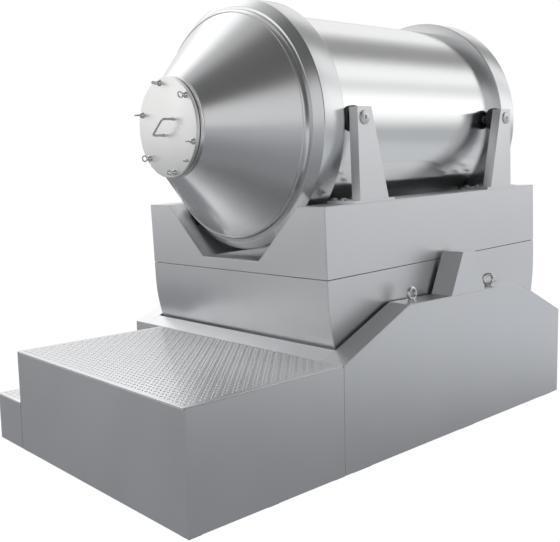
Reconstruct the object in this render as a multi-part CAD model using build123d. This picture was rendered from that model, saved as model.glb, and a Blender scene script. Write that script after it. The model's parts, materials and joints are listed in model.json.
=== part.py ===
from build123d import *
import math
import os

os.makedirs("parts", exist_ok=True)

# Two-dimensional motion mixer: a drum with a conical outlet end turns on rollers in a swing
# frame, and the swing frame rocks end over end on two trunnions between the base's ledges.
# Millimetres and degrees. The outlet end faces -Y, +X is the right side, the floor is Z = 0.

# Base and platform
platform_depth = 850
platform_height = 500
step_width = 260
step_height = 240
base_overhang = 55
ledge_length = 980
ledge_height = 710
ledge_width = 125
skin = 4
tread_thickness = 6
panel_lift = 3
seam_gap = 2
rail_size = 80
rail_wall = 5
leg_size = 40
leg_wall = 3
pad_size = 120
leg_pad_size = 60
pad_thickness = 10
anchor_hole_radius = 9
anchor_offset = 20

# Rocking axis above the ledges, its bearings and their hoods
bearing_height = 90
parked_tilt = 2
swing_angle = 10
trunnion_radius = 35
trunnion_shoulder = 6
trunnion_end_gap = 12
running_clearance = 0.05
bearing_width = 60
bearing_wall = 14
bearing_base_length = 200
bearing_base_thickness = 24
insert_wall = 14
hood_bottom_length = 300
hood_top_length = 106
hood_crown_height = 124
hood_inset = 1
hood_shaft_gap = 10
eyebolt_ring_radius = 27
eyebolt_wire_radius = 9
eyebolt_collar_radius = 20
eyebolt_collar_height = 10
eyebolt_spread_front = 393
eyebolt_spread_rear = 280
eyebolt_turn = 32

# Swing frame, its levels counted from the rocking axis
frame_overhang = 230
frame_side_gap = 15
frame_upper_height = 415
seam_offset_height = 85
seam_width = 3
skirt_depth = 420
skirt_gap = 15
trough_wall_angle = 43.45
trough_wall_gap = 14
trough_floor_gap = 40
trough_support_height = 63
longeron_height = 142
longeron_width = 60
crossmember_width = 80
beam_wall = 6

# Drum, which stands clear above the trough's floor
drum_radius = 566
drum_wall = 5
ring_height = 54
ring_width = 135
ring_inner_spacing = 1330
ring_bevel_length = 35
ring_bevel_depth = 40
end_overhang = 189
knuckle_radius = 64
cone_angle = 45
cone_mouth_radius = 236
head_depth = 105
head_flat_radius = 260
blade_length = 620
blade_depth = 130
blade_skew = 24
blade_count = 4
weld_overlap = 0.02

# Outlet and its cover
outlet_radius = 190
flange_radius = 239
flange_thickness = 20
cover_radius = 234
cover_thickness = 18
cover_edge = 2
gasket_thickness = 3
gasket_margin = 4
stud_circle_radius = 213
stud_radius = 6
stud_count = 6
first_stud_angle = 50
stud_clearance = 1
stud_reach = 9
nut_radius = 13
nut_height = 16
plug_angle = 138
plug_radius = 7
plug_height = 12
handle_reach = 60
handle_rod_radius = 5.5
handle_bend_radius = 14
handle_foot_a = (53, 37)
handle_foot_b = (-33, -33)
eye_ring_radius = 13
eye_wire_radius = 3.5
eye_turns = [80, 5, 45, 85, 0, 30]

# Support rollers, their shafts, pillow blocks and stands
roller_radius = 90
roller_width = 100
roller_core_radius = 74
roller_core_inset = 6
roller_gap = 0.3
tyre_chamfer = 3
shaft_radius = 25
shaft_overhang = 12
block_height = 60
block_length = 160
block_width = 44
block_wall = 27
block_base_thickness = 18
block_offset = 84
stand_plate = 10
stand_margin = 4
slot_clearance = 12

# Retaining wheels, which bear on the rings' inner faces, and their brackets
wheel_radius = 60
wheel_width = 38
wheel_gap = 23
wheel_bore_radius = 15
wheel_recess = 9
wheel_rim = 12
wheel_hub = 10
keeper_thickness = 8
keeper_flange = 7
end_play = 0.3
bracket_gap = 6
bracket_thickness = 52
bracket_inset = 5
bracket_crown_height = 50
bracket_top_length = 97
bracket_bottom_length = 205
bracket_front_margin = 47
bracket_wall = 5
foot_thickness = 12
foot_margin_front = 44
foot_margin_rear = 40
foot_width = 172
foot_inset = 2
axle_cap_radius = 33
axle_cap_thickness = 8
axle_socket_radius = 5

# Chain and sprockets, to the usual sizes of a one inch roller chain
chain_pitch = 25.4
chain_roller_radius = 7.9
chain_pin_radius = 4
chain_pin_stub = 2
chain_inner_width = 15.8
chain_plate_height = 22
chain_plate_thickness = 3
chain_play = 0.3
shaft_sprocket_teeth = 15
motor_sprocket_teeth = 13
sprocket_width = 14
tooth_height = 6
tooth_flank_angle = 30
hub_wall = 14
hub_length = 21
chain_y = 120
chain_side_room = 20

# Gear reducers and motors
drum_motor_depth = 150
drum_motor_side_reach = 60
reducer_radius = 105
reducer_length = 200
reducer_nose_radius = 58
reducer_nose_length = 22
reducer_shoulder_radius = 84
reducer_shoulder_length = 40
reducer_chamfer_length = 12
reducer_nose_flare = 7
reducer_flange_rise = 10
reducer_flange_thickness = 18
reducer_foot_drop = 15
reducer_foot_thickness = 16
reducer_foot_front = 45
reducer_foot_rear = 40
reducer_web_half_width = 63
reducer_web_inset = 10
output_depth = 60
output_gap = 2
motor_radius = 92
motor_length = 290
motor_core_inset = 12
motor_fin_inset = 2
fin_thickness = 4
fin_count = 9
cowl_length = 87
cowl_rounding = 18
terminal_half_length = 50
terminal_half_width = 45
terminal_rise = 38
gland_radius = 12
gland_length = 24
hanger_plate = 14

# Crank, connecting rod and the lug that it lifts
crank_arm = 450
crank_height = 250
crank_disc_radius = 120
crank_disc_thickness = 30
crank_disc_recess = 12
crank_disc_rim = 20
crank_face_x = 90
stand_reach = 160
rod_gap = 5
rod_thickness = 40
rod_eye_wall = 22
rod_half_depth = 24
rod_pocket = 12
rod_web_half_depth = 14
rod_side_inset = 4
crank_pin_radius = 20
pin_cap_rise = 8
lug_depth = 50
lug_wall = 19
lug_gap = 1
pin_gap = 0.5

# Fasteners
bolt_across_flats = 24
bolt_head_height = 12
bolt_shank_radius = 7
bolt_clearance = 0.5

# Across the machine, outwards from the drum: wheels, brackets, swing frame, ledges
ring_radius = drum_radius + ring_height
wheel_inner_x = drum_radius + wheel_gap
wheel_outer_x = wheel_inner_x + wheel_width
bracket_inner_x = wheel_outer_x + bracket_gap
bracket_outer_x = bracket_inner_x + bracket_thickness
frame_half_width = bracket_outer_x + bracket_inset
opening_half_width = frame_half_width + frame_side_gap
half_width = opening_half_width + ledge_width
longeron_x = frame_half_width - skin

# Along the machine
frame_length = ring_inner_spacing + 2 * frame_overhang
base_length = frame_length + 2 * base_overhang
front_y = -(platform_depth + base_length) / 2
base_front_y = front_y + platform_depth
base_rear_y = base_front_y + base_length
rock_y = (base_front_y + base_rear_y) / 2
ledge_front_y = rock_y - ledge_length / 2
ledge_rear_y = rock_y + ledge_length / 2
frame_half_length = frame_length / 2
frame_front_y = rock_y - frame_half_length
frame_rear_y = rock_y + frame_half_length
ring_face_front = rock_y - ring_inner_spacing / 2
ring_face_rear = rock_y + ring_inner_spacing / 2
ring_front_y = ring_face_front - ring_width / 2
ring_rear_y = ring_face_rear + ring_width / 2
wheel_front_y = ring_face_front + wheel_radius + roller_gap
wheel_rear_y = ring_face_rear - wheel_radius - roller_gap
cone_corner_y = ring_face_front - end_overhang
head_corner_y = ring_face_rear + end_overhang
cone_length = (drum_radius - cone_mouth_radius) / math.tan(math.radians(cone_angle))
mouth_y = cone_corner_y - cone_length
flange_face_y = mouth_y - flange_thickness
gasket_face_y = flange_face_y - gasket_thickness
cover_face_y = gasket_face_y - cover_thickness

# Heights, from the floor up
slope_angle = math.degrees(math.atan2(ledge_height - platform_height, ledge_front_y - base_front_y))
rock_height = ledge_height + bearing_height
seam_height = rock_height + seam_offset_height
skirt_bottom_height = rock_height - skirt_depth
longeron_top = seam_height - seam_width
longeron_bottom = longeron_top - longeron_height
frame_top_height = rock_height + frame_upper_height
bracket_foot_z = frame_top_height + foot_thickness
trough_floor_height = longeron_top + trough_support_height
drum_axis_height = trough_floor_height + trough_floor_gap + ring_radius


def trough_half_width(height):
    # how far out the trough's sloping wall stands at a height: it clears the rings all the way down
    rise = (drum_axis_height - height) * math.cos(math.radians(trough_wall_angle))
    return (ring_radius + trough_wall_gap - rise) / math.sin(math.radians(trough_wall_angle))


# The rollers carry the rings square above the trough's walls
platform_left_x = -half_width + step_width
roller_distance = ring_radius + roller_gap + roller_radius
roller_x = roller_distance * math.sin(math.radians(trough_wall_angle))
roller_z = drum_axis_height - roller_distance * math.cos(math.radians(trough_wall_angle))

# The crank's throw rocks the swing frame by the swing angle, and its rod reaches the level lug
lug_y = rock_y + crank_arm
lug_z = longeron_bottom - lug_depth
crank_y = lug_y
crank_radius = crank_arm * math.sin(math.radians(swing_angle))
rod_length = lug_z - crank_height
rod_face_x = crank_face_x + rod_gap

rock_axis = Axis((0, rock_y, rock_height), (1, 0, 0))


def block(x0, x1, y0, y1, z0, z1):
    centre = Pos((x0 + x1) / 2, (y0 + y1) / 2, (z0 + z1) / 2)
    return centre * Box(abs(x1 - x0), abs(y1 - y0), abs(z1 - z0))


def box_tube(x0, x1, y0, y1, z0, z1, wall):
    # a rectangular tube, open at the two ends of its longest side
    lows, highs = (x0, y0, z0), (x1, y1, z1)
    longest = max(high - low for low, high in zip(lows, highs))
    trims = [wall if high - low < longest else -1 for low, high in zip(lows, highs)]
    low_x, low_y, low_z = [low + trim for low, trim in zip(lows, trims)]
    high_x, high_y, high_z = [high - trim for high, trim in zip(highs, trims)]
    return block(x0, x1, y0, y1, z0, z1) - block(low_x, high_x, low_y, high_y, low_z, high_z)


def side_prism(points, x0, x1):
    # an outline of (y, z) points carried from x0 to x1
    face = make_face(Polyline(*points, close=True))
    return extrude(Plane.YZ.offset(x0) * face, amount=x1 - x0)


def cross_prism(points, y0, y1):
    # an outline of (x, z) points carried from y0 to y1
    face = make_face(Polyline(*points, close=True))
    return extrude(Plane.XZ.offset(-y1) * face, amount=y1 - y0)


def rod_x(radius, x0, x1, y, z):
    return Pos((x0 + x1) / 2, y, z) * Rot(0, 90, 0) * Cylinder(radius, abs(x1 - x0))


def rod_y(radius, x, y0, y1, z):
    return Pos(x, (y0 + y1) / 2, z) * Rot(90, 0, 0) * Cylinder(radius, abs(y1 - y0))


def rod_z(radius, x, y, z0, z1):
    return Pos(x, y, (z0 + z1) / 2) * Cylinder(radius, abs(z1 - z0))


def turned(points):
    # a closed outline of (radius, y) points turned about the drum's axis
    face = make_face(Polyline(*points, close=True))
    return Pos(0, 0, drum_axis_height) * revolve(face, Axis.Y)


def group(solids):
    return Compound([solid for item in solids for solid in item.solids()])


def mirrored(shape):
    return mirror(shape, about=Plane.YZ)


def hex_bolt(x, y, z, grip):
    # the head stands on a plate whose top is z, and the shank goes down through it
    outline = RegularPolygon(bolt_across_flats / 2, 6, major_radius=False)
    head = Pos(x, y, z) * extrude(outline, amount=bolt_head_height)
    return head + rod_z(bolt_shank_radius, x, y, z - grip, z)


def bolt_hole(x, y, z, grip):
    return rod_z(bolt_shank_radius + bolt_clearance, x, y, z - grip - 1, z + 1)


# Base


def slope_height(y):
    return platform_height + (y - base_front_y) * math.tan(math.radians(slope_angle))


def roof_line(inset):
    # the base's upper side profile, drawn in by the inset square to each edge
    shift = inset * math.tan(math.radians(slope_angle / 2))
    drop = inset / math.cos(math.radians(slope_angle))
    return [
        (base_front_y, platform_height - drop),
        (ledge_front_y + shift, ledge_height - inset),
        (ledge_rear_y - shift, ledge_height - inset),
        (base_rear_y, platform_height - drop),
    ]


def slope_reach(radius):
    # how far in front of the rocking axis a circle about it meets the front slope
    rise = math.tan(math.radians(slope_angle))
    level = slope_height(rock_y) - rock_height
    root = math.sqrt(radius**2 * (1 + rise**2) - level**2)
    return (level * rise + root) / (1 + rise**2)


opening_reach = slope_reach(frame_half_length + skirt_gap)


def base_side_panel():
    points = roof_line(skin) + [(base_rear_y, panel_lift), (base_front_y, panel_lift)]
    return side_prism(points, half_width - skin, half_width)


def ledge_strip():
    points = roof_line(0) + roof_line(skin)[::-1]
    return side_prism(points, opening_half_width, half_width)


def front_slope_panel():
    edge_y = rock_y - opening_reach
    upper, lower = roof_line(0)[0], roof_line(skin)[0]
    rise = slope_height(edge_y) - platform_height
    points = [upper, (edge_y, upper[1] + rise), (edge_y, lower[1] + rise), lower]
    return side_prism(points, -opening_half_width, opening_half_width)


def base_end_panel(y0):
    top = roof_line(skin)[0][1]
    reach = half_width - skin
    return block(-reach, reach, y0, y0 + skin, panel_lift, top)


def post_places():
    near = hood_bottom_length / 2
    far = ledge_length / 2 - rail_size
    return [rock_y - far, rock_y - near, rock_y + near, rock_y + far]


def base_frame():
    # two side frames of square tube, joined along the floor by cross rails
    outer = half_width - skin
    inner = outer - rail_size
    half = rail_size / 2
    y0, y1 = base_front_y + skin, base_rear_y - skin
    z0 = pad_thickness
    z1 = z0 + rail_size
    rail_top = ledge_height - skin
    rail_low = rail_top - rail_size
    bars = []
    for x0, x1 in ((-outer, -inner), (inner, outer)):
        bars.append(box_tube(x0, x1, y0, y1, z0, z1, rail_wall))
        ledge_y0, ledge_y1 = ledge_front_y + skin, ledge_rear_y - skin
        bars.append(box_tube(x0, x1, ledge_y0, ledge_y1, rail_low, rail_top, rail_wall))
        for y in post_places():
            bars.append(box_tube(x0, x1, y - half, y + half, z1, rail_low, rail_wall))
    for y in (y0 + half, crank_y - stand_reach, crank_y + stand_reach, y1 - half):
        bars.append(box_tube(-inner, inner, y - half, y + half, z0, z1, rail_wall))
    return group(bars)


def platform_legs():
    x0, x1 = platform_left_x + skin + leg_size / 2, half_width - skin - leg_size / 2
    y0, y1 = front_y + skin + leg_size / 2, base_front_y - seam_gap - leg_size / 2
    return [x0, (x0 + x1) / 2, x1], [y0, (y0 + y1) / 2, y1]


def platform_frame():
    xs, ys = platform_legs()
    half = leg_size / 2
    top = platform_height - tread_thickness
    low = top - leg_size
    bars = [box_tube(x - half, x + half, ys[0] - half, ys[2] + half, low, top, leg_wall) for x in xs]
    for xa, xb in zip(xs[:-1], xs[1:]):
        for y in ys:
            bars.append(box_tube(xa + half, xb - half, y - half, y + half, low, top, leg_wall))
    for x in (xs[0], xs[2]):
        for y in ys:
            bars.append(box_tube(x - half, x + half, y - half, y + half, pad_thickness, low, leg_wall))
    for x in xs:
        # spacers that the rear rail is bolted to the base through
        bars.append(block(x - half, x + half, ys[2] + half, ys[2] + half + seam_gap, low, top))
    return group(bars)


def anchor_pads():
    # plates under the base's side rails, each with an anchor hole beside the rail, and under the legs
    pads = []
    outer = half_width - skin
    inner = outer - pad_size
    half = pad_size / 2
    for side in (-1, 1):
        hole_x = side * (outer - rail_size - anchor_offset)
        for y in (base_front_y + pad_size, rock_y, base_rear_y - pad_size):
            low, high = sorted((side * inner, side * outer))
            pad = block(low, high, y - half, y + half, 0, pad_thickness)
            pads.append(pad - rod_z(anchor_hole_radius, hole_x, y, -1, pad_thickness + 1))
    xs, ys = platform_legs()
    half = leg_pad_size / 2
    inward = (leg_pad_size - leg_size) / 2
    for x in (xs[0] + inward, xs[2] - inward):
        for y in (ys[0] + inward, ys[1], ys[2] - inward):
            pads.append(block(x - half, x + half, y - half, y + half, 0, pad_thickness))
    return group(pads)


def platform_panels():
    top = platform_height - tread_thickness
    rear = base_front_y - seam_gap
    front = block(platform_left_x, half_width, front_y, front_y + skin, panel_lift, top)
    right = block(half_width - skin, half_width, front_y + skin, rear, panel_lift, top)
    left = block(platform_left_x, platform_left_x + skin, front_y + skin, rear, panel_lift, top)
    return group([front, right, left])


def step_panels():
    top = step_height - tread_thickness
    rear = base_front_y - seam_gap
    front = block(-half_width, platform_left_x, front_y, front_y + skin, panel_lift, top)
    left = block(-half_width, -half_width + skin, front_y + skin, rear, panel_lift, top)
    inner = block(-half_width + skin, platform_left_x, rear - leg_size, rear, top - leg_size, top)
    return group([front, left, inner])


def tread_plates():
    rear = base_front_y - seam_gap
    deck_low, step_low = platform_height - tread_thickness, step_height - tread_thickness
    deck = block(platform_left_x, half_width, front_y, rear, deck_low, platform_height)
    step = block(-half_width, platform_left_x, front_y, rear, step_low, step_height)
    return group([deck, step])


# Rocking bearings


def bearing_hood():
    low, high = hood_bottom_length / 2, hood_top_length / 2
    top = rock_height + hood_crown_height
    face = make_face(Polyline(
        (rock_y - low, ledge_height), (rock_y + low, ledge_height),
        (rock_y + high, top), (rock_y - high, top), close=True,
    ))
    x0, x1 = opening_half_width + hood_inset, half_width
    outer = extrude(Plane.YZ.offset(x0) * face, amount=x1 - x0)
    inner_face = offset(face, amount=-skin, kind=Kind.INTERSECTION)
    hollow = extrude(Plane.YZ.offset(x0 + skin) * inner_face, amount=x1 - x0 - 2 * skin)
    mouth = Pos(0, 0, -skin) * hollow
    shaft_hole = rod_x(trunnion_radius + hood_shaft_gap, x0 - skin, x0 + 2 * skin, rock_y, rock_height)
    return outer - hollow - mouth - shaft_hole


def bearing_span():
    middle = half_width - ledge_width / 2
    return middle - bearing_width / 2, middle + bearing_width / 2


def rock_bearing():
    x0, x1 = bearing_span()
    insert_radius = trunnion_radius + insert_wall
    housing_radius = insert_radius + bearing_wall
    base_half = bearing_base_length / 2
    z1 = ledge_height + bearing_base_thickness
    foot = block(x0, x1, rock_y - base_half, rock_y + base_half, ledge_height, z1)
    pillar = block(x0, x1, rock_y - housing_radius, rock_y + housing_radius, z1, rock_height)
    housing = foot + pillar + rod_x(housing_radius, x0, x1, rock_y, rock_height)
    housing -= rod_x(insert_radius, x0 - 1, x1 + 1, rock_y, rock_height)
    for x, y in bearing_bolt_places():
        housing -= bolt_hole(x, y, z1, bearing_base_thickness)
    insert = rod_x(insert_radius - running_clearance, x0, x1, rock_y, rock_height)
    insert -= rod_x(trunnion_radius + running_clearance, x0 - 1, x1 + 1, rock_y, rock_height)
    return [housing, insert]


def bearing_bolt_places():
    x = half_width - ledge_width / 2
    reach = bearing_base_length / 2 - bolt_across_flats * 0.75
    return [(x, rock_y - reach), (x, rock_y + reach)]


def bearing_bolts():
    z = ledge_height + bearing_base_thickness
    return [hex_bolt(x, y, z, bearing_base_thickness) for x, y in bearing_bolt_places()]


def lifting_eyebolt(y, turn):
    x = half_width - ledge_width / 2
    collar_top = ledge_height + eyebolt_collar_height
    collar = rod_z(eyebolt_collar_radius, x, y, ledge_height, collar_top)
    ring = Rot(0, 0, turn) * Rot(0, 90, 0) * Torus(eyebolt_ring_radius, eyebolt_wire_radius)
    return collar + Pos(x, y, collar_top + eyebolt_ring_radius) * ring


# Drives, drawn with the output shaft along +X and its axis through the origin


def reducer():
    # body with a stepped nose, cast feet below and a flange at the motor's end
    flange_front = reducer_length - reducer_flange_thickness - reducer_chamfer_length
    flange_back = flange_front + reducer_flange_thickness
    points = [
        (0, 0), (reducer_nose_radius, 0), (reducer_nose_radius + reducer_nose_flare, reducer_nose_length),
        (reducer_shoulder_radius, reducer_shoulder_length),
        (reducer_radius, reducer_shoulder_length + reducer_chamfer_length),
        (reducer_radius, flange_front), (reducer_radius + reducer_flange_rise, flange_front),
        (reducer_radius + reducer_flange_rise, flange_back), (motor_radius, flange_back),
        (motor_radius, reducer_length), (0, reducer_length),
    ]
    shell = Rot(0, 0, 90) * revolve(make_face(Polyline(*points, close=True)), Axis.Y)
    low = -reducer_radius - reducer_foot_drop
    foot_top = low + reducer_foot_thickness
    x0, x1 = -reducer_length + reducer_foot_rear, -reducer_foot_front
    foot = block(x0, x1, -reducer_radius, reducer_radius, low, foot_top)
    x0, x1 = x0 + reducer_web_inset, x1 - reducer_web_inset
    web = block(x0, x1, -reducer_web_half_width, reducer_web_half_width, foot_top, 0)
    return shell + web + foot - rod_x(shaft_radius + running_clearance, -output_depth, 1, 0, 0)


def motor():
    # finned frame, smooth fan cowl with a rounded back and a terminal box with its cable gland
    front = -reducer_length
    back = front - motor_length
    cowl_front = back + cowl_length
    body = rod_x(motor_radius - motor_core_inset, back, front, 0, 0)
    pitch = (cowl_front - front) / (fin_count + 1)
    for count in range(fin_count):
        x = front + (count + 1) * pitch
        body += rod_x(motor_radius - motor_fin_inset, x, x + fin_thickness, 0, 0)
    cowl = rod_x(motor_radius, back, cowl_front, 0, 0)
    cowl = fillet(cowl.edges().filter_by(GeomType.CIRCLE).sort_by(Axis.X)[0], cowl_rounding)
    middle = (front + cowl_front) / 2
    x0, x1 = middle - terminal_half_length, middle + terminal_half_length
    box_low, box_top = motor_radius - 3 * motor_core_inset, motor_radius + terminal_rise
    terminal = block(x0, x1, -terminal_half_width, terminal_half_width, box_low, box_top)
    gland = rod_x(gland_radius, x1, x1 + gland_length, 0, motor_radius + terminal_rise / 2)
    return body + cowl + terminal + gland


def place_on_base(shape):
    return Pos(crank_face_x - crank_disc_thickness - output_gap, crank_y, crank_height) * shape


def place_on_hanger(shape):
    # turned so that the output shaft points to -Y and the feet are on top
    output_y = chain_y + chain_side_room
    return Pos(motor_sprocket_x, output_y, motor_sprocket_z) * Rot(0, 180, 0) * Rot(0, 0, -90) * shape


def rock_drive_stand():
    # a bench on the two cross rails, its top under the reducer's feet
    top = crank_height - reducer_radius - reducer_foot_drop
    x1 = crank_face_x - crank_disc_thickness - output_gap - reducer_foot_front + reducer_foot_thickness
    x0 = x1 - reducer_length
    rail_top = pad_thickness + rail_size
    span = stand_reach + rail_size / 2
    stand = block(x0, x1, crank_y - span, crank_y + span, top - stand_plate, top)
    for y in (crank_y - stand_reach, crank_y + stand_reach):
        stand += block(x0, x1, y - stand_plate, y + stand_plate, rail_top, top - stand_plate)
    return stand


# Swing frame


def trough_line(inset):
    # the pan's upper surface from left to right, drawn in by the inset square to each face
    shift = inset * math.tan(math.radians(trough_wall_angle / 2))
    floor_x, top_x = trough_half_width(trough_floor_height), trough_half_width(frame_top_height)
    top, floor = frame_top_height - inset, trough_floor_height - inset
    right = [(floor_x + shift, floor), (top_x + shift, top), (frame_half_width, top)]
    return [(-x, z) for x, z in right[::-1]] + right


def trough_pan():
    pan = cross_prism(trough_line(0) + trough_line(skin)[::-1], frame_front_y, frame_rear_y)
    half_slot = roller_width / 2 + slot_clearance
    slot_radius = roller_radius + slot_clearance
    for x in (-roller_x, roller_x):
        for y in (ring_front_y, ring_rear_y):
            pan -= rod_y(slot_radius, x, y - half_slot, y + half_slot, roller_z)
    return pan


def swing_end_panels():
    low = seam_height + seam_width / 2
    inner = frame_half_width - skin
    points = trough_line(skin)
    points[0] = (-inner, frame_top_height - skin)
    points[-1] = (inner, frame_top_height - skin)
    outline = points + [(inner, low), (-inner, low)]
    front = cross_prism(outline, frame_front_y, frame_front_y + skin)
    rear = cross_prism(outline, frame_rear_y - skin, frame_rear_y)
    return group([front, rear])


def swing_side_panel():
    low = seam_height + seam_width / 2
    x1 = frame_half_width
    return block(x1 - skin, x1, frame_front_y, frame_rear_y, low, frame_top_height - skin)


def skirt_body(radius):
    # a slab between the seam and the skirt's foot, round about the rocking axis below it
    reach = frame_half_length + 1
    x = frame_half_width
    upper = block(-x, x, rock_y - radius, rock_y + radius, rock_height, seam_height - seam_width / 2)
    drum_part = rod_x(radius, -x, x, rock_y, rock_height)
    lower = drum_part & block(-x, x, rock_y - reach, rock_y + reach, skirt_bottom_height, rock_height)
    return upper + lower


def skirt_ends():
    inner = frame_half_width - skin
    ring = skirt_body(frame_half_length) - skirt_body(frame_half_length - skin)
    return group([ring & block(-inner, inner, front_y, base_rear_y, 0, frame_top_height)])


def skirt_side():
    plate = skirt_body(frame_half_length)
    plate &= block(frame_half_width - skin, frame_half_width, front_y, base_rear_y, 0, frame_top_height)
    hole_radius = trunnion_radius + trunnion_shoulder + 2 * seam_gap
    return plate - rod_x(hole_radius, longeron_x - 1, frame_half_width + 1, rock_y, rock_height)


def crossmember_places():
    under_rings = [ring + s * block_offset for ring in (ring_front_y, ring_rear_y) for s in (-1, 1)]
    return under_rings + [rock_y, lug_y]


def swing_frame():
    # a ladder of rectangular tube, trimmed to the inside of the curved skirt
    inner = longeron_x - longeron_width
    y0, y1 = frame_front_y + skin, frame_rear_y - skin
    body = box_tube(-longeron_x, -inner, y0, y1, longeron_bottom, longeron_top, beam_wall)
    body += box_tube(inner, longeron_x, y0, y1, longeron_bottom, longeron_top, beam_wall)
    half = crossmember_width / 2
    for y in crossmember_places():
        body += box_tube(-inner, inner, y - half, y + half, longeron_bottom, longeron_top, beam_wall)
    return (body + crank_lug() + drive_hanger()) & skirt_body(frame_half_length - skin)


def crank_lug():
    # two ears under the lug crossmember, with the pin through them
    ears = lug_ear(rod_face_x - lug_gap - lug_wall)
    return ears + lug_ear(rod_face_x + rod_thickness + lug_gap)


def lug_ear(x0):
    radius = crank_pin_radius + rod_eye_wall
    ear = rod_x(radius, x0, x0 + lug_wall, lug_y, lug_z)
    ear += block(x0, x0 + lug_wall, lug_y - radius, lug_y + radius, lug_z, longeron_bottom)
    return ear - rod_x(crank_pin_radius, x0 - 1, x0 + lug_wall + 1, lug_y, lug_z)


def lug_pin():
    reach = lug_gap + lug_wall
    return rod_x(crank_pin_radius, rod_face_x - reach, rod_face_x + rod_thickness + reach, lug_y, lug_z)


def drive_hanger():
    # a plate over the reducer's feet, hung from the middle crossmember by two webs
    low = motor_sprocket_z + reducer_radius + reducer_foot_drop
    top = low + hanger_plate
    half = crossmember_width / 2
    y0 = chain_y + chain_side_room + reducer_foot_front - reducer_foot_thickness
    x0, x1 = motor_sprocket_x - reducer_radius, motor_sprocket_x + reducer_radius
    plate = block(x0, x1, y0, rock_y + half, low, top)
    for x in (x0, x1 - hanger_plate):
        plate += block(x, x + hanger_plate, rock_y - half, rock_y + half, top, longeron_bottom)
    return plate


def trunnion():
    # a stub shaft with a flange bolted against the longeron
    flange_end = longeron_x + skin / 2
    shaft = rod_x(trunnion_radius, longeron_x, half_width - skin - trunnion_end_gap, rock_y, rock_height)
    return shaft + rod_x(trunnion_radius + trunnion_shoulder, longeron_x, flange_end, rock_y, rock_height)


def stand_and_block(side, y):
    # a welded stool on the swing frame, and the pillow block that the shaft turns in
    x = side * roller_x
    half_x, half_y = block_length / 2, block_width / 2 + stand_margin
    x0, x1 = x - half_x, x + half_x
    top = roller_z - block_height
    z0 = longeron_top
    stand = block(x0, x1, y - half_y, y + half_y, z0, z0 + stand_plate)
    stand += block(x0, x1, y - half_y, y + half_y, top - stand_plate, top)
    for web_x in (x0 + 2 * stand_plate, x1 - 3 * stand_plate):
        stand += block(web_x, web_x + stand_plate, y - half_y, y + half_y, z0, top)
    radius = shaft_radius + block_wall
    y0, y1 = y - block_width / 2, y + block_width / 2
    body = block(x0, x1, y0, y1, top, top + block_base_thickness)
    body += block(x - radius * 0.85, x + radius * 0.85, y0, y1, top, roller_z)
    body += rod_y(radius, x, y0, y1, roller_z)
    body -= rod_y(shaft_radius + running_clearance, x, y0 - 1, y1 + 1, roller_z)
    return stand, body


def stands_and_blocks():
    pairs = []
    for side in (-1, 1):
        for ring in (ring_front_y, ring_rear_y):
            for s in (-1, 1):
                pairs.append(stand_and_block(side, ring + s * block_offset))
    return [stand for stand, body in pairs], [body for stand, body in pairs]


# Retaining-wheel brackets. Both lean towards the drum's middle: toward is +1 at the front.


def bracket(wheel_y, toward):
    edge_y = wheel_y - toward * bracket_front_margin
    z0, z1 = bracket_foot_z, drum_axis_height + bracket_crown_height
    points = [
        (edge_y, z0), (edge_y, z1),
        (edge_y + toward * bracket_top_length, z1), (edge_y + toward * bracket_bottom_length, z0),
    ]
    face = make_face(Polyline(*points, close=True))
    upright = extrude(Plane.YZ.offset(bracket_inner_x) * face, amount=bracket_thickness)
    inner_face = offset(face, amount=-bracket_wall, kind=Kind.INTERSECTION)
    core_x = bracket_inner_x + bracket_wall
    core = extrude(Plane.YZ.offset(core_x) * inner_face, amount=bracket_thickness - 2 * bracket_wall)
    x1 = frame_half_width - foot_inset
    near = edge_y - toward * foot_margin_front
    far = edge_y + toward * (bracket_bottom_length + foot_margin_rear)
    foot = block(x1 - foot_width, x1, near, far, frame_top_height, z0)
    for x, y in bracket_bolt_places(wheel_y, toward):
        foot -= bolt_hole(x, y, z0, foot_thickness)
    bore = rod_x(wheel_bore_radius, bracket_inner_x - 1, bracket_outer_x + 1, wheel_y, drum_axis_height)
    return upright - core + foot - bore


def bracket_bolt_places(wheel_y, toward):
    edge_y = wheel_y - toward * bracket_front_margin
    near = edge_y - toward * foot_margin_front / 2
    far = edge_y + toward * (bracket_bottom_length + foot_margin_rear / 2)
    inner_x = frame_half_width - foot_width + bolt_across_flats
    outer_x = frame_half_width - foot_width / 2
    middle = (near + far) / 2
    return [(inner_x, near), (outer_x, near), (inner_x, far), (outer_x, far), (inner_x, middle)]


def bracket_bolts():
    places = bracket_bolt_places(wheel_front_y, 1) + bracket_bolt_places(wheel_rear_y, -1)
    return group([hex_bolt(x, y, bracket_foot_z, foot_thickness) for x, y in places])


def wheel_axle(wheel_y):
    # a shouldered pin with a domed cap on the bracket's outer face and a washer at each end
    def disc(radius, x0, x1):
        return rod_x(radius, x0, x1, wheel_y, drum_axis_height)

    keeper_x = wheel_inner_x - keeper_thickness
    cap_x = bracket_outer_x + axle_cap_thickness
    flange_radius = wheel_bore_radius + keeper_flange
    axle = disc(wheel_bore_radius, keeper_x, bracket_outer_x)
    axle += disc(axle_cap_radius, bracket_outer_x, bracket_outer_x + axle_cap_thickness * 0.6)
    axle += disc(axle_cap_radius * 0.72, bracket_outer_x, cap_x)
    axle += disc(flange_radius, wheel_outer_x + end_play, bracket_inner_x)
    axle += disc(flange_radius, keeper_x, wheel_inner_x - end_play)
    hexagon = extrude(RegularPolygon(axle_socket_radius, 6), amount=axle_cap_thickness)
    return axle - Pos(bracket_outer_x + 3, wheel_y, drum_axis_height) * Rot(0, 90, 0) * hexagon


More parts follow.
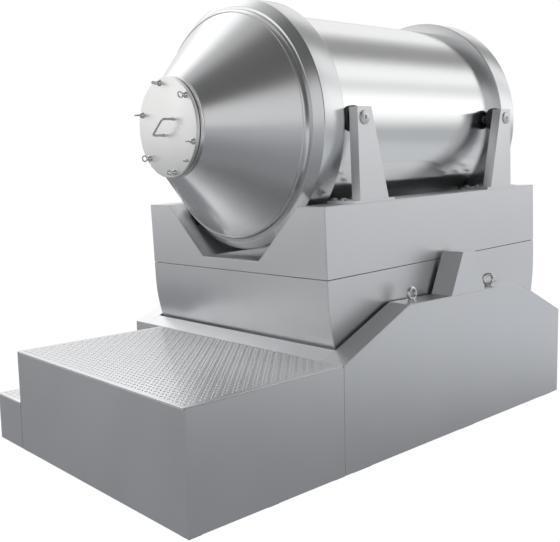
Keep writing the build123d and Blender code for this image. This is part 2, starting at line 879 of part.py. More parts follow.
def retaining_wheel(wheel_y):
    # a rimmed wheel with a recessed web and a hub
    def disc(radius, x0, x1):
        return rod_x(radius, x0, x1, wheel_y, drum_axis_height)

    wheel = disc(wheel_radius, wheel_inner_x, wheel_outer_x)
    for x0, x1 in (
        (wheel_inner_x - 1, wheel_inner_x + wheel_recess),
        (wheel_outer_x - wheel_recess, wheel_outer_x + 1),
    ):
        recess = disc(wheel_radius - wheel_rim, x0, x1)
        wheel -= recess - disc(wheel_bore_radius + wheel_hub, x0 - 1, x1 + 1)
    return wheel - disc(wheel_bore_radius + running_clearance, wheel_inner_x - 1, wheel_outer_x + 1)


# Drum


def front_cone():
    # cone, knuckle and a short straight end, one wall thick
    wall_shift = drum_wall * math.tan(math.radians(cone_angle / 2))
    corner = (drum_radius, cone_corner_y)
    inner_corner = (drum_radius - drum_wall, cone_corner_y + wall_shift)
    inner_mouth = cone_mouth_radius - drum_wall / math.cos(math.radians(cone_angle))
    end_y = cone_corner_y + knuckle_radius / 2
    points = [
        (cone_mouth_radius, mouth_y), corner, (drum_radius, end_y),
        (drum_radius - drum_wall, end_y), inner_corner, (inner_mouth, mouth_y),
    ]
    face = make_face(Polyline(*points, close=True))
    for (r, y), radius in ((corner, knuckle_radius), (inner_corner, knuckle_radius - drum_wall)):
        bend = min(face.vertices(), key=lambda v: math.hypot(v.X - r, v.Y - y))
        face = fillet(bend, radius)
    return Pos(0, 0, drum_axis_height) * revolve(face, Axis.Y)


def drum_cylinder():
    inner = drum_radius - drum_wall
    y0 = cone_corner_y + knuckle_radius / 2
    y1 = head_corner_y - drum_wall
    return turned([(drum_radius, y0), (drum_radius, y1), (inner, y1), (inner, y0)])


def rear_head():
    y0, y1 = head_corner_y - drum_wall, head_corner_y + head_depth
    return turned([
        (drum_radius, y0), (drum_radius, head_corner_y), (head_flat_radius, y1), (0, y1),
        (0, y1 - drum_wall), (head_flat_radius - 2, y1 - drum_wall), (drum_radius - drum_wall, y0),
    ])


def riding_ring(face_y, outward):
    # a hoop on the shell with a bevelled outer side: outward is -1 at the front
    y1 = face_y + outward * ring_width
    y2 = y1 + outward * ring_bevel_length
    inner = drum_radius + weld_overlap
    return turned([
        (inner, face_y), (ring_radius, face_y), (ring_radius, y1),
        (ring_radius - ring_bevel_depth, y2), (inner, y2),
    ])


def outlet_flange():
    return turned([
        (outlet_radius, flange_face_y), (flange_radius, flange_face_y),
        (flange_radius, mouth_y), (outlet_radius, mouth_y),
    ])


def cover_place(degrees):
    # (x, z) on the stud circle, the angle counted clockwise from the top as seen from the front
    angle = math.radians(degrees)
    return stud_circle_radius * math.sin(angle), drum_axis_height + stud_circle_radius * math.cos(angle)


def stud_places():
    places = []
    for count in range(stud_count):
        places.append(cover_place(first_stud_angle + count * 360 / stud_count))
    return places


def cover_studs():
    end = cover_face_y - stud_reach
    return group([rod_y(stud_radius, x, end, flange_face_y, z) for x, z in stud_places()])


def mixing_blades():
    # plates standing on the shell, skewed so that they carry the powder along the drum
    inner = drum_radius - drum_wall - weld_overlap
    tube = rod_y(inner, 0, ring_face_front, ring_face_rear, drum_axis_height)
    tube -= rod_y(inner - blade_depth, 0, ring_face_front - 1, ring_face_rear + 1, drum_axis_height)
    blades = []
    for count in range(blade_count):
        skew = blade_skew if count % 2 else -blade_skew
        plate = Box(blade_depth * 2, blade_length, skin)
        plate = Pos(inner - blade_depth / 2, 0, 0) * Rot(skew, 0, 0) * plate
        plate = Pos(0, rock_y, drum_axis_height) * Rot(0, 45 + count * 360 / blade_count, 0) * plate
        blades.append(plate & tube)
    return group(blades)


# Outlet cover


def outlet_cover():
    plate = turned([
        (0, cover_face_y), (cover_radius - cover_edge, cover_face_y),
        (cover_radius, cover_face_y + cover_edge),
        (cover_radius, gasket_face_y), (0, gasket_face_y),
    ])
    for x, z in stud_places():
        plate -= rod_y(stud_radius + stud_clearance, x, cover_face_y - 1, gasket_face_y + 1, z)
    x, z = cover_place(plug_angle)
    plug = rod_y(plug_radius, x, cover_face_y - plug_height, cover_face_y, z)
    return plate + plug + rod_y(plug_radius / 2, x, cover_face_y - 2 * plug_height, cover_face_y, z)


def cover_gasket():
    outer = stud_circle_radius - stud_radius - gasket_margin
    return turned([
        (outlet_radius, gasket_face_y), (outer, gasket_face_y),
        (outer, flange_face_y), (outlet_radius, flange_face_y),
    ])


def cover_handle():
    # a round rod bent to a bow, its two feet welded to the plate
    (xa, za), (xb, zb) = handle_foot_a, handle_foot_b
    near, far = cover_face_y, cover_face_y - handle_reach
    path = FilletPolyline(
        (xa, near, drum_axis_height + za), (xa, far, drum_axis_height + za),
        (xb, far, drum_axis_height + zb), (xb, near, drum_axis_height + zb), radius=handle_bend_radius,
    )
    section = Plane(origin=path @ 0, z_dir=path % 0) * Circle(handle_rod_radius)
    return sweep(section, path=path)


def eye_nuts():
    # a round nut on each stud, with a wire ring standing on it, each left at its own turn
    nuts = []
    top = cover_face_y - nut_height
    for (x, z), turn in zip(stud_places(), eye_turns):
        nut = rod_y(nut_radius, x, top, cover_face_y, z)
        nut -= rod_y(stud_radius + stud_clearance / 2, x, cover_face_y - stud_reach - 1, cover_face_y + 1, z)
        ring = Rot(0, turn, 0) * Torus(eye_ring_radius, eye_wire_radius)
        nuts.append(nut + Pos(x, top - eye_ring_radius + 1, z) * ring)
    return group(nuts)


# Rollers and shafts, which lie along Y


def roller_shaft(side):
    end = block_offset + block_width / 2 + shaft_overhang
    half_core = roller_width / 2 - roller_core_inset
    x = side * roller_x
    shaft = rod_y(shaft_radius, x, ring_front_y - end, ring_rear_y + end, roller_z)
    for y in (ring_front_y, ring_rear_y):
        shaft += rod_y(roller_core_radius, x, y - half_core, y + half_core, roller_z)
    return shaft


def roller_tyres(side):
    x = side * roller_x
    tyres = []
    for y in (ring_front_y, ring_rear_y):
        tyre = rod_y(roller_radius, x, y - roller_width / 2, y + roller_width / 2, roller_z)
        tyre = chamfer(tyre.edges(), tyre_chamfer)
        bore = rod_y(roller_core_radius + weld_overlap, x, y - roller_width, y + roller_width, roller_z)
        tyres.append(tyre - bore)
    return group(tyres)


def pitch_radius(teeth):
    return chain_pitch / 2 / math.sin(math.pi / teeth)


upper_pitch_radius = pitch_radius(shaft_sprocket_teeth)
lower_pitch_radius = pitch_radius(motor_sprocket_teeth)
motor_sprocket_z = longeron_bottom - drum_motor_depth
chain_rise = roller_z - motor_sprocket_z


def chain_spacing(links):
    # the centre distance at which this many links just close round the two sprockets
    step = upper_pitch_radius - lower_pitch_radius
    spacing = links * chain_pitch / 2
    for _ in range(20):
        lean = math.asin(step / spacing)
        extra = (shaft_sprocket_teeth - motor_sprocket_teeth) * lean / math.pi
        straight = (links - (shaft_sprocket_teeth + motor_sprocket_teeth) / 2 - extra) * chain_pitch / 2
        spacing = math.hypot(straight, step)
    return spacing


# The fewest links, an even number, that let the motor stand clear to one side of the shaft
chain_links = shaft_sprocket_teeth + motor_sprocket_teeth
while chain_spacing(chain_links) < math.hypot(chain_rise, drum_motor_side_reach):
    chain_links += 2
sprocket_spacing = chain_spacing(chain_links)
motor_sprocket_x = -roller_x + math.sqrt(sprocket_spacing**2 - chain_rise**2)
chain_lean = math.degrees(math.asin((upper_pitch_radius - lower_pitch_radius) / sprocket_spacing))
chain_heading = math.degrees(math.atan2(chain_rise, -roller_x - motor_sprocket_x))
chain_run = sprocket_spacing * math.cos(math.radians(chain_lean)) / chain_pitch
upper_wrap = shaft_sprocket_teeth * (180 + 2 * chain_lean) / 360
lower_wrap = motor_sprocket_teeth * (180 - 2 * chain_lean) / 360
upper_phase = chain_heading + 90 + chain_lean
lower_phase = chain_heading - 90 - chain_lean + (upper_wrap + chain_run) * 360 / motor_sprocket_teeth


def around(x, z, radius, degrees):
    return x + radius * math.cos(math.radians(degrees)), z + radius * math.sin(math.radians(degrees))


def chain_pin_place(count):
    # down one straight run from the upper sprocket, round the lower one and up the other run
    leave, meet = chain_heading - 90 - chain_lean, chain_heading + 90 + chain_lean
    if count <= upper_wrap:
        return around(-roller_x, roller_z, upper_pitch_radius, meet - count * 360 / shaft_sprocket_teeth)
    count -= upper_wrap
    if count <= chain_run:
        x, z = around(-roller_x, roller_z, upper_pitch_radius, leave)
        return around(x, z, count * chain_pitch, leave - 90)
    count -= chain_run
    if count <= lower_wrap:
        angle = leave - count * 360 / motor_sprocket_teeth
        return around(motor_sprocket_x, motor_sprocket_z, lower_pitch_radius, angle)
    x, z = around(motor_sprocket_x, motor_sprocket_z, lower_pitch_radius, meet)
    return around(x, z, (count - lower_wrap) * chain_pitch, meet - 90)


def sprocket(teeth, x, z, phase):
    # a disc with a seat for each chain roller, opening outwards between the teeth, and a hub
    radius = pitch_radius(teeth)
    seat_radius = chain_roller_radius + chain_play
    reach = 2 * tooth_height
    spread = seat_radius + reach * math.tan(math.radians(tooth_flank_angle))
    mouth = make_face(Polyline(
        (radius, -seat_radius), (radius + reach, -spread), (radius + reach, spread), (radius, seat_radius),
        close=True,
    ))
    seat = Pos(radius, 0) * Circle(seat_radius) + mouth
    wheel = Circle(radius + tooth_height)
    for count in range(teeth):
        wheel -= Rot(0, 0, phase + count * 360 / teeth) * seat
    front = chain_y - sprocket_width / 2
    disc = extrude(Plane.XZ.offset(-front - sprocket_width) * Pos(x, z) * wheel, amount=sprocket_width)
    hub = rod_y(shaft_radius + hub_wall, x, chain_y - hub_length, chain_y, z)
    return disc + hub


def shaft_sprocket():
    wheel = sprocket(shaft_sprocket_teeth, -roller_x, roller_z, upper_phase)
    y0, y1 = chain_y - 2 * hub_length, chain_y + 2 * hub_length
    return wheel - rod_y(shaft_radius, -roller_x, y0, y1, roller_z)


def motor_sprocket():
    # the wheel is fused with the reducer's output shaft
    x, z = motor_sprocket_x, motor_sprocket_z
    shaft_end = chain_y + chain_side_room + output_depth - output_gap
    wheel = sprocket(motor_sprocket_teeth, x, z, lower_phase)
    return wheel + rod_y(shaft_radius, x, chain_y - hub_length, shaft_end, z)


def link_plate(start, end, y0):
    # a flat plate with round ends over two pins
    outline = SlotCenterToCenter(math.dist(start, end), chain_plate_height)
    lean = math.degrees(math.atan2(end[1] - start[1], end[0] - start[0]))
    middle = Pos((start[0] + end[0]) / 2, (start[1] + end[1]) / 2)
    plane = Plane.XZ.offset(-y0 - chain_plate_thickness)
    return extrude(plane * middle * Rot(0, 0, lean) * outline, amount=chain_plate_thickness)


def drive_chain():
    # inner links with two rollers each, joined by outer links, whose pins run right across
    places = [chain_pin_place(count) for count in range(chain_links)]
    half = chain_inner_width / 2
    pin_half = half + 2 * chain_plate_thickness + chain_pin_stub
    pieces = []
    for count, place in enumerate(places):
        following = places[(count + 1) % chain_links]
        reach = half + (count % 2) * chain_plate_thickness
        pieces.append(link_plate(place, following, chain_y + reach))
        pieces.append(link_plate(place, following, chain_y - reach - chain_plate_thickness))
        pieces.append(rod_y(chain_roller_radius, place[0], chain_y - half, chain_y + half, place[1]))
        pieces.append(rod_y(chain_pin_radius, place[0], chain_y - pin_half, chain_y + pin_half, place[1]))
    return pieces[0].fuse(*pieces[1:])


# Crank and connecting rod


def park(y, z):
    # where a point of the level swing frame stands when parked
    angle = math.radians(parked_tilt)
    dy, dz = y - rock_y, z - rock_height
    return (
        rock_y + dy * math.cos(angle) - dz * math.sin(angle),
        rock_height + dy * math.sin(angle) + dz * math.cos(angle),
    )


def crank_pin_place():
    # where the circle of the crank pin meets the circle of the rod about the parked lug
    top_y, top_z = park(lug_y, lug_z)
    dy, dz = top_y - crank_y, top_z - crank_height
    gap = math.hypot(dy, dz)
    along = (gap**2 + crank_radius**2 - rod_length**2) / (2 * gap)
    off = math.sqrt(crank_radius**2 - along**2)
    return crank_y + (along * dy + off * dz) / gap, crank_height + (along * dz - off * dy) / gap


def crank_disc():
    # a disc on the reducer's output shaft, hollowed behind except round the shaft and the pin
    x0 = crank_face_x - crank_disc_thickness
    disc = rod_x(crank_disc_radius, x0, crank_face_x, crank_y, crank_height)
    disc = chamfer(disc.edges(), tyre_chamfer)
    pin_y, pin_z = crank_pin_place()
    floor_x = x0 + crank_disc_recess
    hollow = rod_x(crank_disc_radius - crank_disc_rim, x0 - 1, floor_x, crank_y, crank_height)
    hollow -= rod_x(shaft_radius + crank_disc_rim, x0 - 2, floor_x + 1, crank_y, crank_height)
    hollow -= rod_x(crank_pin_radius + crank_disc_rim, x0 - 2, floor_x + 1, pin_y, pin_z)
    shaft = rod_x(shaft_radius, x0 - output_depth, x0 + 1, crank_y, crank_height)
    return disc - hollow + shaft


def connecting_rod():
    # an I-section rod between two eyes, with the crank pin held in its lower eye
    (pin_y, pin_z), (top_y, top_z) = crank_pin_place(), park(lug_y, lug_z)
    x0, x1 = rod_face_x, rod_face_x + rod_thickness
    eye = crank_pin_radius + rod_eye_wall
    clear = eye + pin_cap_rise
    lean = math.degrees(math.atan2(top_y - pin_y, top_z - pin_z))
    length = math.hypot(top_y - pin_y, top_z - pin_z)
    low_x, high_x = x0 + rod_side_inset, x1 - rod_side_inset
    shank = block(low_x, high_x, -rod_half_depth, rod_half_depth, 0, length)
    for face_x in (low_x, high_x - rod_pocket):
        shank -= block(
            face_x, face_x + rod_pocket, -rod_web_half_depth, rod_web_half_depth, clear, length - clear
        )
    shank = Pos(0, pin_y, pin_z) * Rot(-lean, 0, 0) * shank
    body = shank + rod_x(eye, x0, x1, pin_y, pin_z) + rod_x(eye, x0, x1, top_y, top_z)
    body -= rod_x(crank_pin_radius + running_clearance, x0 - 1, x1 + 1, top_y, top_z)
    body -= rod_x(crank_pin_radius, x0 - 1, x1 + 1, pin_y, pin_z)
    pin = rod_x(crank_pin_radius, crank_face_x + pin_gap, x1, pin_y, pin_z)
    cap = rod_x(crank_pin_radius + pin_cap_rise, x1, x1 + pin_cap_rise, pin_y, pin_z)
    return group([body, pin + cap])


def both_sides(shape):
    return group([shape, mirrored(shape)])


hood_right = bearing_hood()
side_panel_right = base_side_panel()
slope_front = front_slope_panel()
roller_stands, roller_blocks = stands_and_blocks()
bearings = rock_bearing()
bolts = bearing_bolts()
eyebolts = [
    lifting_eyebolt(rock_y - eyebolt_spread_front, 0),
    lifting_eyebolt(rock_y + eyebolt_spread_rear, -eyebolt_turn),
]

# Nodes that stand on the floor
fixed = {
    "base_frame": base_frame(),
    "anchor_pads": anchor_pads(),
    "side_panel_right": side_panel_right,
    "side_panel_left": mirrored(side_panel_right),
    "base_front_panel": base_end_panel(base_front_y),
    "base_rear_panel": base_end_panel(base_rear_y - skin),
    "ledge_strips": both_sides(ledge_strip()),
    "front_slope_panel": slope_front,
    "rear_slope_panel": mirror(slope_front, about=Plane.XZ.offset(-rock_y)),
    "platform_frame": platform_frame(),
    "platform_panels": platform_panels(),
    "step_panels": step_panels(),
    "tread_plates": tread_plates(),
    "bearing_hood_right": hood_right,
    "bearing_hood_left": mirrored(hood_right),
    "rock_bearings": group(bearings + [mirrored(shape) for shape in bearings]),
    "bearing_bolts": group(bolts + [mirrored(shape) for shape in bolts]),
    "lifting_eyebolts": group(eyebolts + [mirrored(shape) for shape in eyebolts]),
    "rock_drive_stand": rock_drive_stand(),
    "rock_reducer": place_on_base(reducer()),
    "rock_motor": place_on_base(motor()),
    "crank_disc": crank_disc(),
    "connecting_rod": connecting_rod(),
}

# Nodes carried by the swing frame, drawn level and then parked
carried = {
    "swing_frame": swing_frame(),
    "lug_pin": lug_pin(),
    "trunnion_shafts": both_sides(trunnion()),
    "swing_end_panels": swing_end_panels(),
    "swing_side_panels": both_sides(swing_side_panel()),
    "trough_pan": trough_pan(),
    "skirt_ends": skirt_ends(),
    "skirt_sides": both_sides(skirt_side()),
    "roller_stands": group(roller_stands),
    "roller_bearings": group(roller_blocks),
    "front_bracket": bracket(wheel_front_y, 1),
    "rear_bracket": bracket(wheel_rear_y, -1),
    "bracket_bolts": bracket_bolts(),
    "wheel_axles": group([wheel_axle(wheel_front_y), wheel_axle(wheel_rear_y)]),
    "drum_reducer": place_on_hanger(reducer()),
    "drum_motor": place_on_hanger(motor()),
    "drive_chain": drive_chain(),
    "front_wheel": retaining_wheel(wheel_front_y),
    "rear_wheel": retaining_wheel(wheel_rear_y),
    "drive_shaft": roller_shaft(-1),
    "drive_rollers": roller_tyres(-1),
    "shaft_sprocket": shaft_sprocket(),
    "idler_shaft": roller_shaft(1),
    "idler_rollers": roller_tyres(1),
    "motor_sprocket": motor_sprocket(),
    "drum_cylinder": drum_cylinder(),
    "front_cone": front_cone(),
    "rear_head": rear_head(),
    "front_ring": riding_ring(ring_face_front, -1),
    "rear_ring": riding_ring(ring_face_rear, 1),
    "outlet_flange": outlet_flange(),
    "cover_studs": cover_studs(),
    "mixing_blades": mixing_blades(),
    "outlet_cover": outlet_cover(),
    "cover_gasket": cover_gasket(),
    "cover_handle": cover_handle(),
    "eye_nuts": eye_nuts(),
}

for name, shape in fixed.items():
    export_step(shape, f"parts/{name}.step")
for name, shape in carried.items():
    export_step(shape.rotate(rock_axis, parked_tilt), f"parts/{name}.step")
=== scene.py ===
import bmesh
import bpy
import json
import numpy as np
from mathutils import Matrix, Vector


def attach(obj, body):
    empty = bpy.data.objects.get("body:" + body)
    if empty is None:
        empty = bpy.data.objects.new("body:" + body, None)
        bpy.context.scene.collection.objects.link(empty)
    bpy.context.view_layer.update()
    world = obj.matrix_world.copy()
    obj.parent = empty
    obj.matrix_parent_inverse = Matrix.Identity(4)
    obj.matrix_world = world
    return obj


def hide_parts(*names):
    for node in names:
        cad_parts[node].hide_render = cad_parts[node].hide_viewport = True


# Two-dimensional motion mixer: a polished drum on rollers in a rocking trough frame, stainless throughout.
# Metres, +Z up, the outlet end faces -Y, and the retaining wheels are on the +X side.

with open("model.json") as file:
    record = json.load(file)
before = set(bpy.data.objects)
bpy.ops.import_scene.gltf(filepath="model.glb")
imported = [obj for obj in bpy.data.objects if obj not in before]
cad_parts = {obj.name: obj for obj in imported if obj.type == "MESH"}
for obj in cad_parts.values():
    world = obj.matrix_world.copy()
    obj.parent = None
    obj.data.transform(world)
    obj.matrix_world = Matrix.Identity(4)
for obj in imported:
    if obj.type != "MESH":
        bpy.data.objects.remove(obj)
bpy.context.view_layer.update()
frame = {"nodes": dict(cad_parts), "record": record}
nodes = frame["nodes"]
bodyOfNode = {node: body for body, names in frame["record"]["behaviour"]["bodies"].items() for node in names}
slotOfNode = {entry["node"]: entry["material_slot"] for entry in frame["record"]["subparts"]}
print("frame loaded:", len(nodes), "nodes")

# the rocking axis, the tilt that the machine is parked at, and the level height of the drum's axis
machine = {"rockY": 0.425, "rockZ": 0.800, "parkedTilt": np.radians(2.0), "drumZ": 1.605}


# Numpy surfaces: every builder returns its points and a list of face arrays, and a piece may join several

def gridFaces(rows, columns, closedRows=False, closedColumns=False):
    # every quad of a rows by columns grid, wrapping where a direction is closed
    rr, cc = np.meshgrid(np.arange(rows if closedRows else rows - 1),
                         np.arange(columns if closedColumns else columns - 1), indexing="ij")
    nextR, nextC = (rr + 1) % rows, (cc + 1) % columns
    quads = [rr * columns + cc, rr * columns + nextC, nextR * columns + nextC, nextR * columns + cc]
    return np.stack(quads, axis=-1).reshape(-1, 4)


def endFaces(rows, columns):
    # the first and the last ring of a grid, each as one flat face
    ring = np.arange(columns)
    return [ring[None], ring[None] + (rows - 1) * columns]


def parked(points):
    # the level swing frame's points turned about the rocking axis to the parked pose
    c, s = np.cos(machine["parkedTilt"]), np.sin(machine["parkedTilt"])
    y, z = points[..., 1] - machine["rockY"], points[..., 2] - machine["rockZ"]
    return np.stack([points[..., 0], machine["rockY"] + y * c - z * s, machine["rockZ"] + y * s + z * c], axis=-1)


def roundedLine(corners, radii, steps=5, closed=True):
    # each corner with a radius is swapped for the arc tangent to its two sides, in two or three dimensions
    corners = [np.array(p, float) for p in corners]
    out = []
    for i, (corner, radius) in enumerate(zip(corners, radii)):
        if radius <= 0 or (not closed and i in (0, len(corners) - 1)):
            out.append(corner[None])
            continue
        before, after = corners[i - 1] - corner, corners[(i + 1) % len(corners)] - corner
        a, b = before / np.linalg.norm(before), after / np.linalg.norm(after)
        half = np.arccos(np.clip(a @ b, -1, 1)) / 2
        reach = min(radius / np.tan(half), 0.499 * np.linalg.norm(before), 0.499 * np.linalg.norm(after))
        centre = corner + (a + b) / np.linalg.norm(a + b) * reach / np.cos(half)
        turn, t = np.pi - 2 * half, np.linspace(0, 1, steps + 1)[:, None]
        spokes = np.sin((1 - t) * turn) * (corner + a * reach - centre) + np.sin(t * turn) * (corner + b * reach - centre)
        out.append(centre + spokes / np.sin(turn))
    return np.concatenate(out)


def turned(corners, radii=None, centre=(0, 0, 0), axis=(0, 1, 0), side=(0, 0, 1), segments=96, steps=4):
    # a closed (radius, height) outline carried round an axis: centre + height*axis + radius*(side cos a + across sin a)
    outline = roundedLine(corners, radii if radii is not None else [0] * len(corners), steps)
    axis, side = np.array(axis, float), np.array(side, float)
    angle = np.linspace(0, 2 * np.pi, segments, endpoint=False)
    spoke = np.cos(angle)[:, None] * side + np.sin(angle)[:, None] * np.cross(axis, side)
    points = np.array(centre, float) + outline[:, 1, None, None] * axis + outline[:, 0, None, None] * spoke
    return points.reshape(-1, 3), [gridFaces(len(outline), segments, True, True)]


def ringOf(centre, normal, ringRadius, wireRadius, segments=48, sides=14):
    # a torus: a small circle of wireRadius carried round a circle of ringRadius square to the normal
    normal = np.array(normal, float) / np.linalg.norm(normal)
    side = np.cross(normal, [0.31, 0.52, 0.79])
    side /= np.linalg.norm(side)
    a = np.linspace(0, 2 * np.pi, segments, endpoint=False)[:, None, None]
    b = np.linspace(0, 2 * np.pi, sides, endpoint=False)[None, :, None]
    spoke = np.cos(a) * side + np.sin(a) * np.cross(normal, side)
    points = np.array(centre, float) + spoke * (ringRadius + wireRadius * np.cos(b)) + normal * wireRadius * np.sin(b)
    return points.reshape(-1, 3), [gridFaces(segments, sides, True, True)]


def alongLine(line):
    # the unit direction of a line at each of its points
    tangent = np.gradient(line, axis=0)
    return tangent / np.linalg.norm(tangent, axis=1, keepdims=True)


def bentRod(path, normal, radius, sides=20):
    # a circle carried along a path that lies in one plane, its ends closed by flat discs
    normal = np.array(normal, float) / np.linalg.norm(normal)
    across = np.cross(alongLine(path), normal)
    a = np.linspace(0, 2 * np.pi, sides, endpoint=False)[None, :, None]
    points = path[:, None, :] + radius * (np.cos(a) * across[:, None, :] + np.sin(a) * normal)
    return points.reshape(-1, 3), [gridFaces(len(path), sides, False, True), *endFaces(len(path), sides)]


def outlineAt(corners, radius, inset, steps=4):
    # a convex (x, y) outline with round corners, drawn in by the inset
    corners = np.array(corners, float)
    before, after = corners - np.roll(corners, 1, axis=0), np.roll(corners, -1, axis=0) - corners
    before /= np.linalg.norm(before, axis=1, keepdims=True)
    after /= np.linalg.norm(after, axis=1, keepdims=True)
    inward = after - before
    half = np.arccos(np.clip((-before * after).sum(axis=1), -1, 1)) / 2
    moved = corners + inward / np.linalg.norm(inward, axis=1, keepdims=True) * (inset / np.sin(half))[:, None]
    return roundedLine(moved, [max(radius - inset, 1e-4)] * len(corners), steps)


def plate(corners, low, high, radius, edge):
    # a plate: round-cornered outlines stacked from low to high, drawn in along a quarter circle at both faces
    turn = np.linspace(0, np.pi / 2, 4)
    insets = np.concatenate([edge * (1 - np.sin(turn)), edge * (1 - np.cos(turn))])
    heights = np.concatenate([low + edge * (1 - np.cos(turn)), high - edge * (1 - np.sin(turn))])
    rings = np.array([outlineAt(corners, radius, inset) for inset in insets])
    points = np.concatenate([rings, np.broadcast_to(heights[:, None, None], (*rings.shape[:2], 1))], axis=2)
    count = rings.shape[1]
    return points.reshape(-1, 3), [gridFaces(len(insets), count, False, True), *endFaces(len(insets), count)]


def bentWall(path, low, high, thickness, radius, edge=0.001):
    # a bent sheet: a tall narrow section with rolled edges carried along a plan line with round corners
    line = roundedLine(path, [radius] * len(path), 6, closed=False)
    tangent = alongLine(line)
    normal = np.stack([tangent[:, 1], -tangent[:, 0]], axis=1)
    half = thickness / 2
    section = np.array([(-half, low + edge), (-half + edge, low), (half - edge, low), (half, low + edge),
                        (half, high - edge), (half - edge, high), (-half + edge, high), (-half, high - edge)])
    flat = line[:, None, :] + section[None, :, 0, None] * normal[:, None, :]
    points = np.concatenate([flat, np.broadcast_to(section[None, :, 1, None], (*flat.shape[:2], 1))], axis=2)
    return points.reshape(-1, 3), [gridFaces(len(line), 8, False, True), *endFaces(len(line), 8)]


def makePiece(name, node, parts, sharp=0.6, isParked=False):
    # one object from its surfaces: poles and seams merged, faces outwards, riding where its node does
    offsets = np.cumsum([0] + [len(points) for points, _ in parts])
    points = np.concatenate([points for points, _ in parts])
    faces = [row for (_, groups), offset in zip(parts, offsets) for group in groups for row in (group + offset).tolist()]
    mesh = bpy.data.meshes.new(name)
    mesh.from_pydata((parked(points) if isParked else points).tolist(), [], faces)
    return finishPiece(name, node, mesh, 2e-6, sharp)


def finishPiece(name, node, mesh, distance, sharp, flatAngle=None):
    work = bmesh.new()
    work.from_mesh(mesh)
    bmesh.ops.remove_doubles(work, verts=work.verts, dist=distance)
    if flatAngle:
        bmesh.ops.dissolve_limit(work, angle_limit=flatAngle, verts=work.verts, edges=work.edges)
    bmesh.ops.recalc_face_normals(work, faces=work.faces)
    work.to_mesh(mesh)
    work.free()
    mesh.shade_smooth()
    mesh.set_sharp_from_angle(angle=sharp)
    mesh.materials.clear()
    mesh.materials.append(finishes[slotOfNode[node]])
    piece = bpy.data.objects.new(name, mesh)
    bpy.context.scene.collection.objects.link(piece)
    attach(piece, bodyOfNode[node])
    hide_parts(node)
    return piece


def softened(name, node, width):
    # a merged copy of a sheet-metal node, its flat faces joined up and its hard edges rolled over
    mesh = nodes[node].data.copy()
    mesh.name = name
    mesh.transform(nodes[node].matrix_world)
    piece = finishPiece(name, node, mesh, 2e-5, 0.5, 0.004)
    roll = piece.modifiers.new("rolledEdge", "BEVEL")
    roll.width, roll.segments, roll.limit_method, roll.angle_limit = width, 2, "ANGLE", 0.5
    roll.harden_normals = True


# Shader expressions: a wrapped socket whose operators add the Math nodes

class Wire:
    def __init__(self, tree, socket):
        self.tree, self.socket = tree, socket

    def maths(self, operation, first, second):
        return Shader.node(self.tree, "ShaderNodeMath", {"operation": operation}, [first, second])["Value"]

    def __add__(self, other): return self.maths("ADD", self, other)
    def __radd__(self, other): return self.maths("ADD", other, self)
    def __sub__(self, other): return self.maths("SUBTRACT", self, other)
    def __rsub__(self, other): return self.maths("SUBTRACT", other, self)
    def __mul__(self, other): return self.maths("MULTIPLY", self, other)
    def __rmul__(self, other): return self.maths("MULTIPLY", other, self)
    def __truediv__(self, other): return self.maths("DIVIDE", self, other)
    def __pow__(self, other): return self.maths("POWER", self, other)
    def angleTo(self, other): return self.maths("ARCTAN2", self, other)


class Shader:
    # one node tree: add() takes a node's type, its settings and its sockets' values or links
    def __init__(self, owner):
        owner.use_nodes = True
        self.tree = owner.node_tree
        self.tree.nodes.clear()

    @staticmethod
    def node(tree, kind, settings=None, sockets=None):
        made = tree.nodes.new(kind)
        for key, value in (settings or {}).items():
            if key == "stops":
                ramp = made.color_ramp
                while len(ramp.elements) > 1:
                    ramp.elements.remove(ramp.elements[-1])
                for count, (place, level) in enumerate(value):
                    stop = ramp.elements[0] if count == 0 else ramp.elements.new(place)
                    stop.position, stop.color = place, (level, level, level, 1)
            else:
                setattr(made, key, value)
        for key, value in (sockets.items() if isinstance(sockets, dict) else enumerate(sockets or [])):
            if isinstance(value, Wire):
                tree.links.new(value.socket, made.inputs[key])
            else:
                made.inputs[key].default_value = value
        return {output.name: Wire(tree, output) for output in made.outputs if output.enabled}

    def add(self, kind, settings=None, sockets=None):
        return Shader.node(self.tree, kind, settings, sockets)

    def place(self, location=(0, 0, 0), turn=(0, 0, 0), scale=(1, 1, 1)):
        # the piece's own coordinates, moved, turned and stretched
        return self.add("ShaderNodeMapping", {"vector_type": "TEXTURE"},
                        {"Vector": self.add("ShaderNodeTexCoord")["Object"], "Location": location,
                         "Rotation": turn, "Scale": scale})["Vector"]

    def noise(self, vector, scale=1.0, detail=3.0, roughness=0.5):
        return self.add("ShaderNodeTexNoise", None, {"Vector": vector, "Scale": scale, "Detail": detail,
                                                     "Roughness": roughness})["Fac"]

    def ranged(self, value, fromMin, fromMax, toMin, toMax):
        return self.add("ShaderNodeMapRange", {"interpolation_type": "SMOOTHSTEP"},
                        {"Value": value, "From Min": fromMin, "From Max": fromMax, "To Min": toMin,
                         "To Max": toMax})["Result"]

    def blend(self, factor, low, high):
        return self.add("ShaderNodeMix", {"data_type": "RGBA"}, {"Factor": factor, 6: (*low, 1), 7: (*high, 1)})["Result"]

    def bump(self, height, strength, distance):
        return self.add("ShaderNodeBump", None, {"Height": height, "Strength": strength, "Distance": distance})["Normal"]

    def finish(self, **sockets):
        keys = {"colour": "Base Color", "rough": "Roughness", "metallic": "Metallic", "normal": "Normal"}
        shader = self.add("ShaderNodeBsdfPrincipled", None, {keys[key]: value for key, value in sockets.items()})
        self.add("ShaderNodeOutputMaterial", None, {"Surface": shader["BSDF"]})


def scaled(colour, share):
    return tuple(min(1.0, c * share) for c in colour)


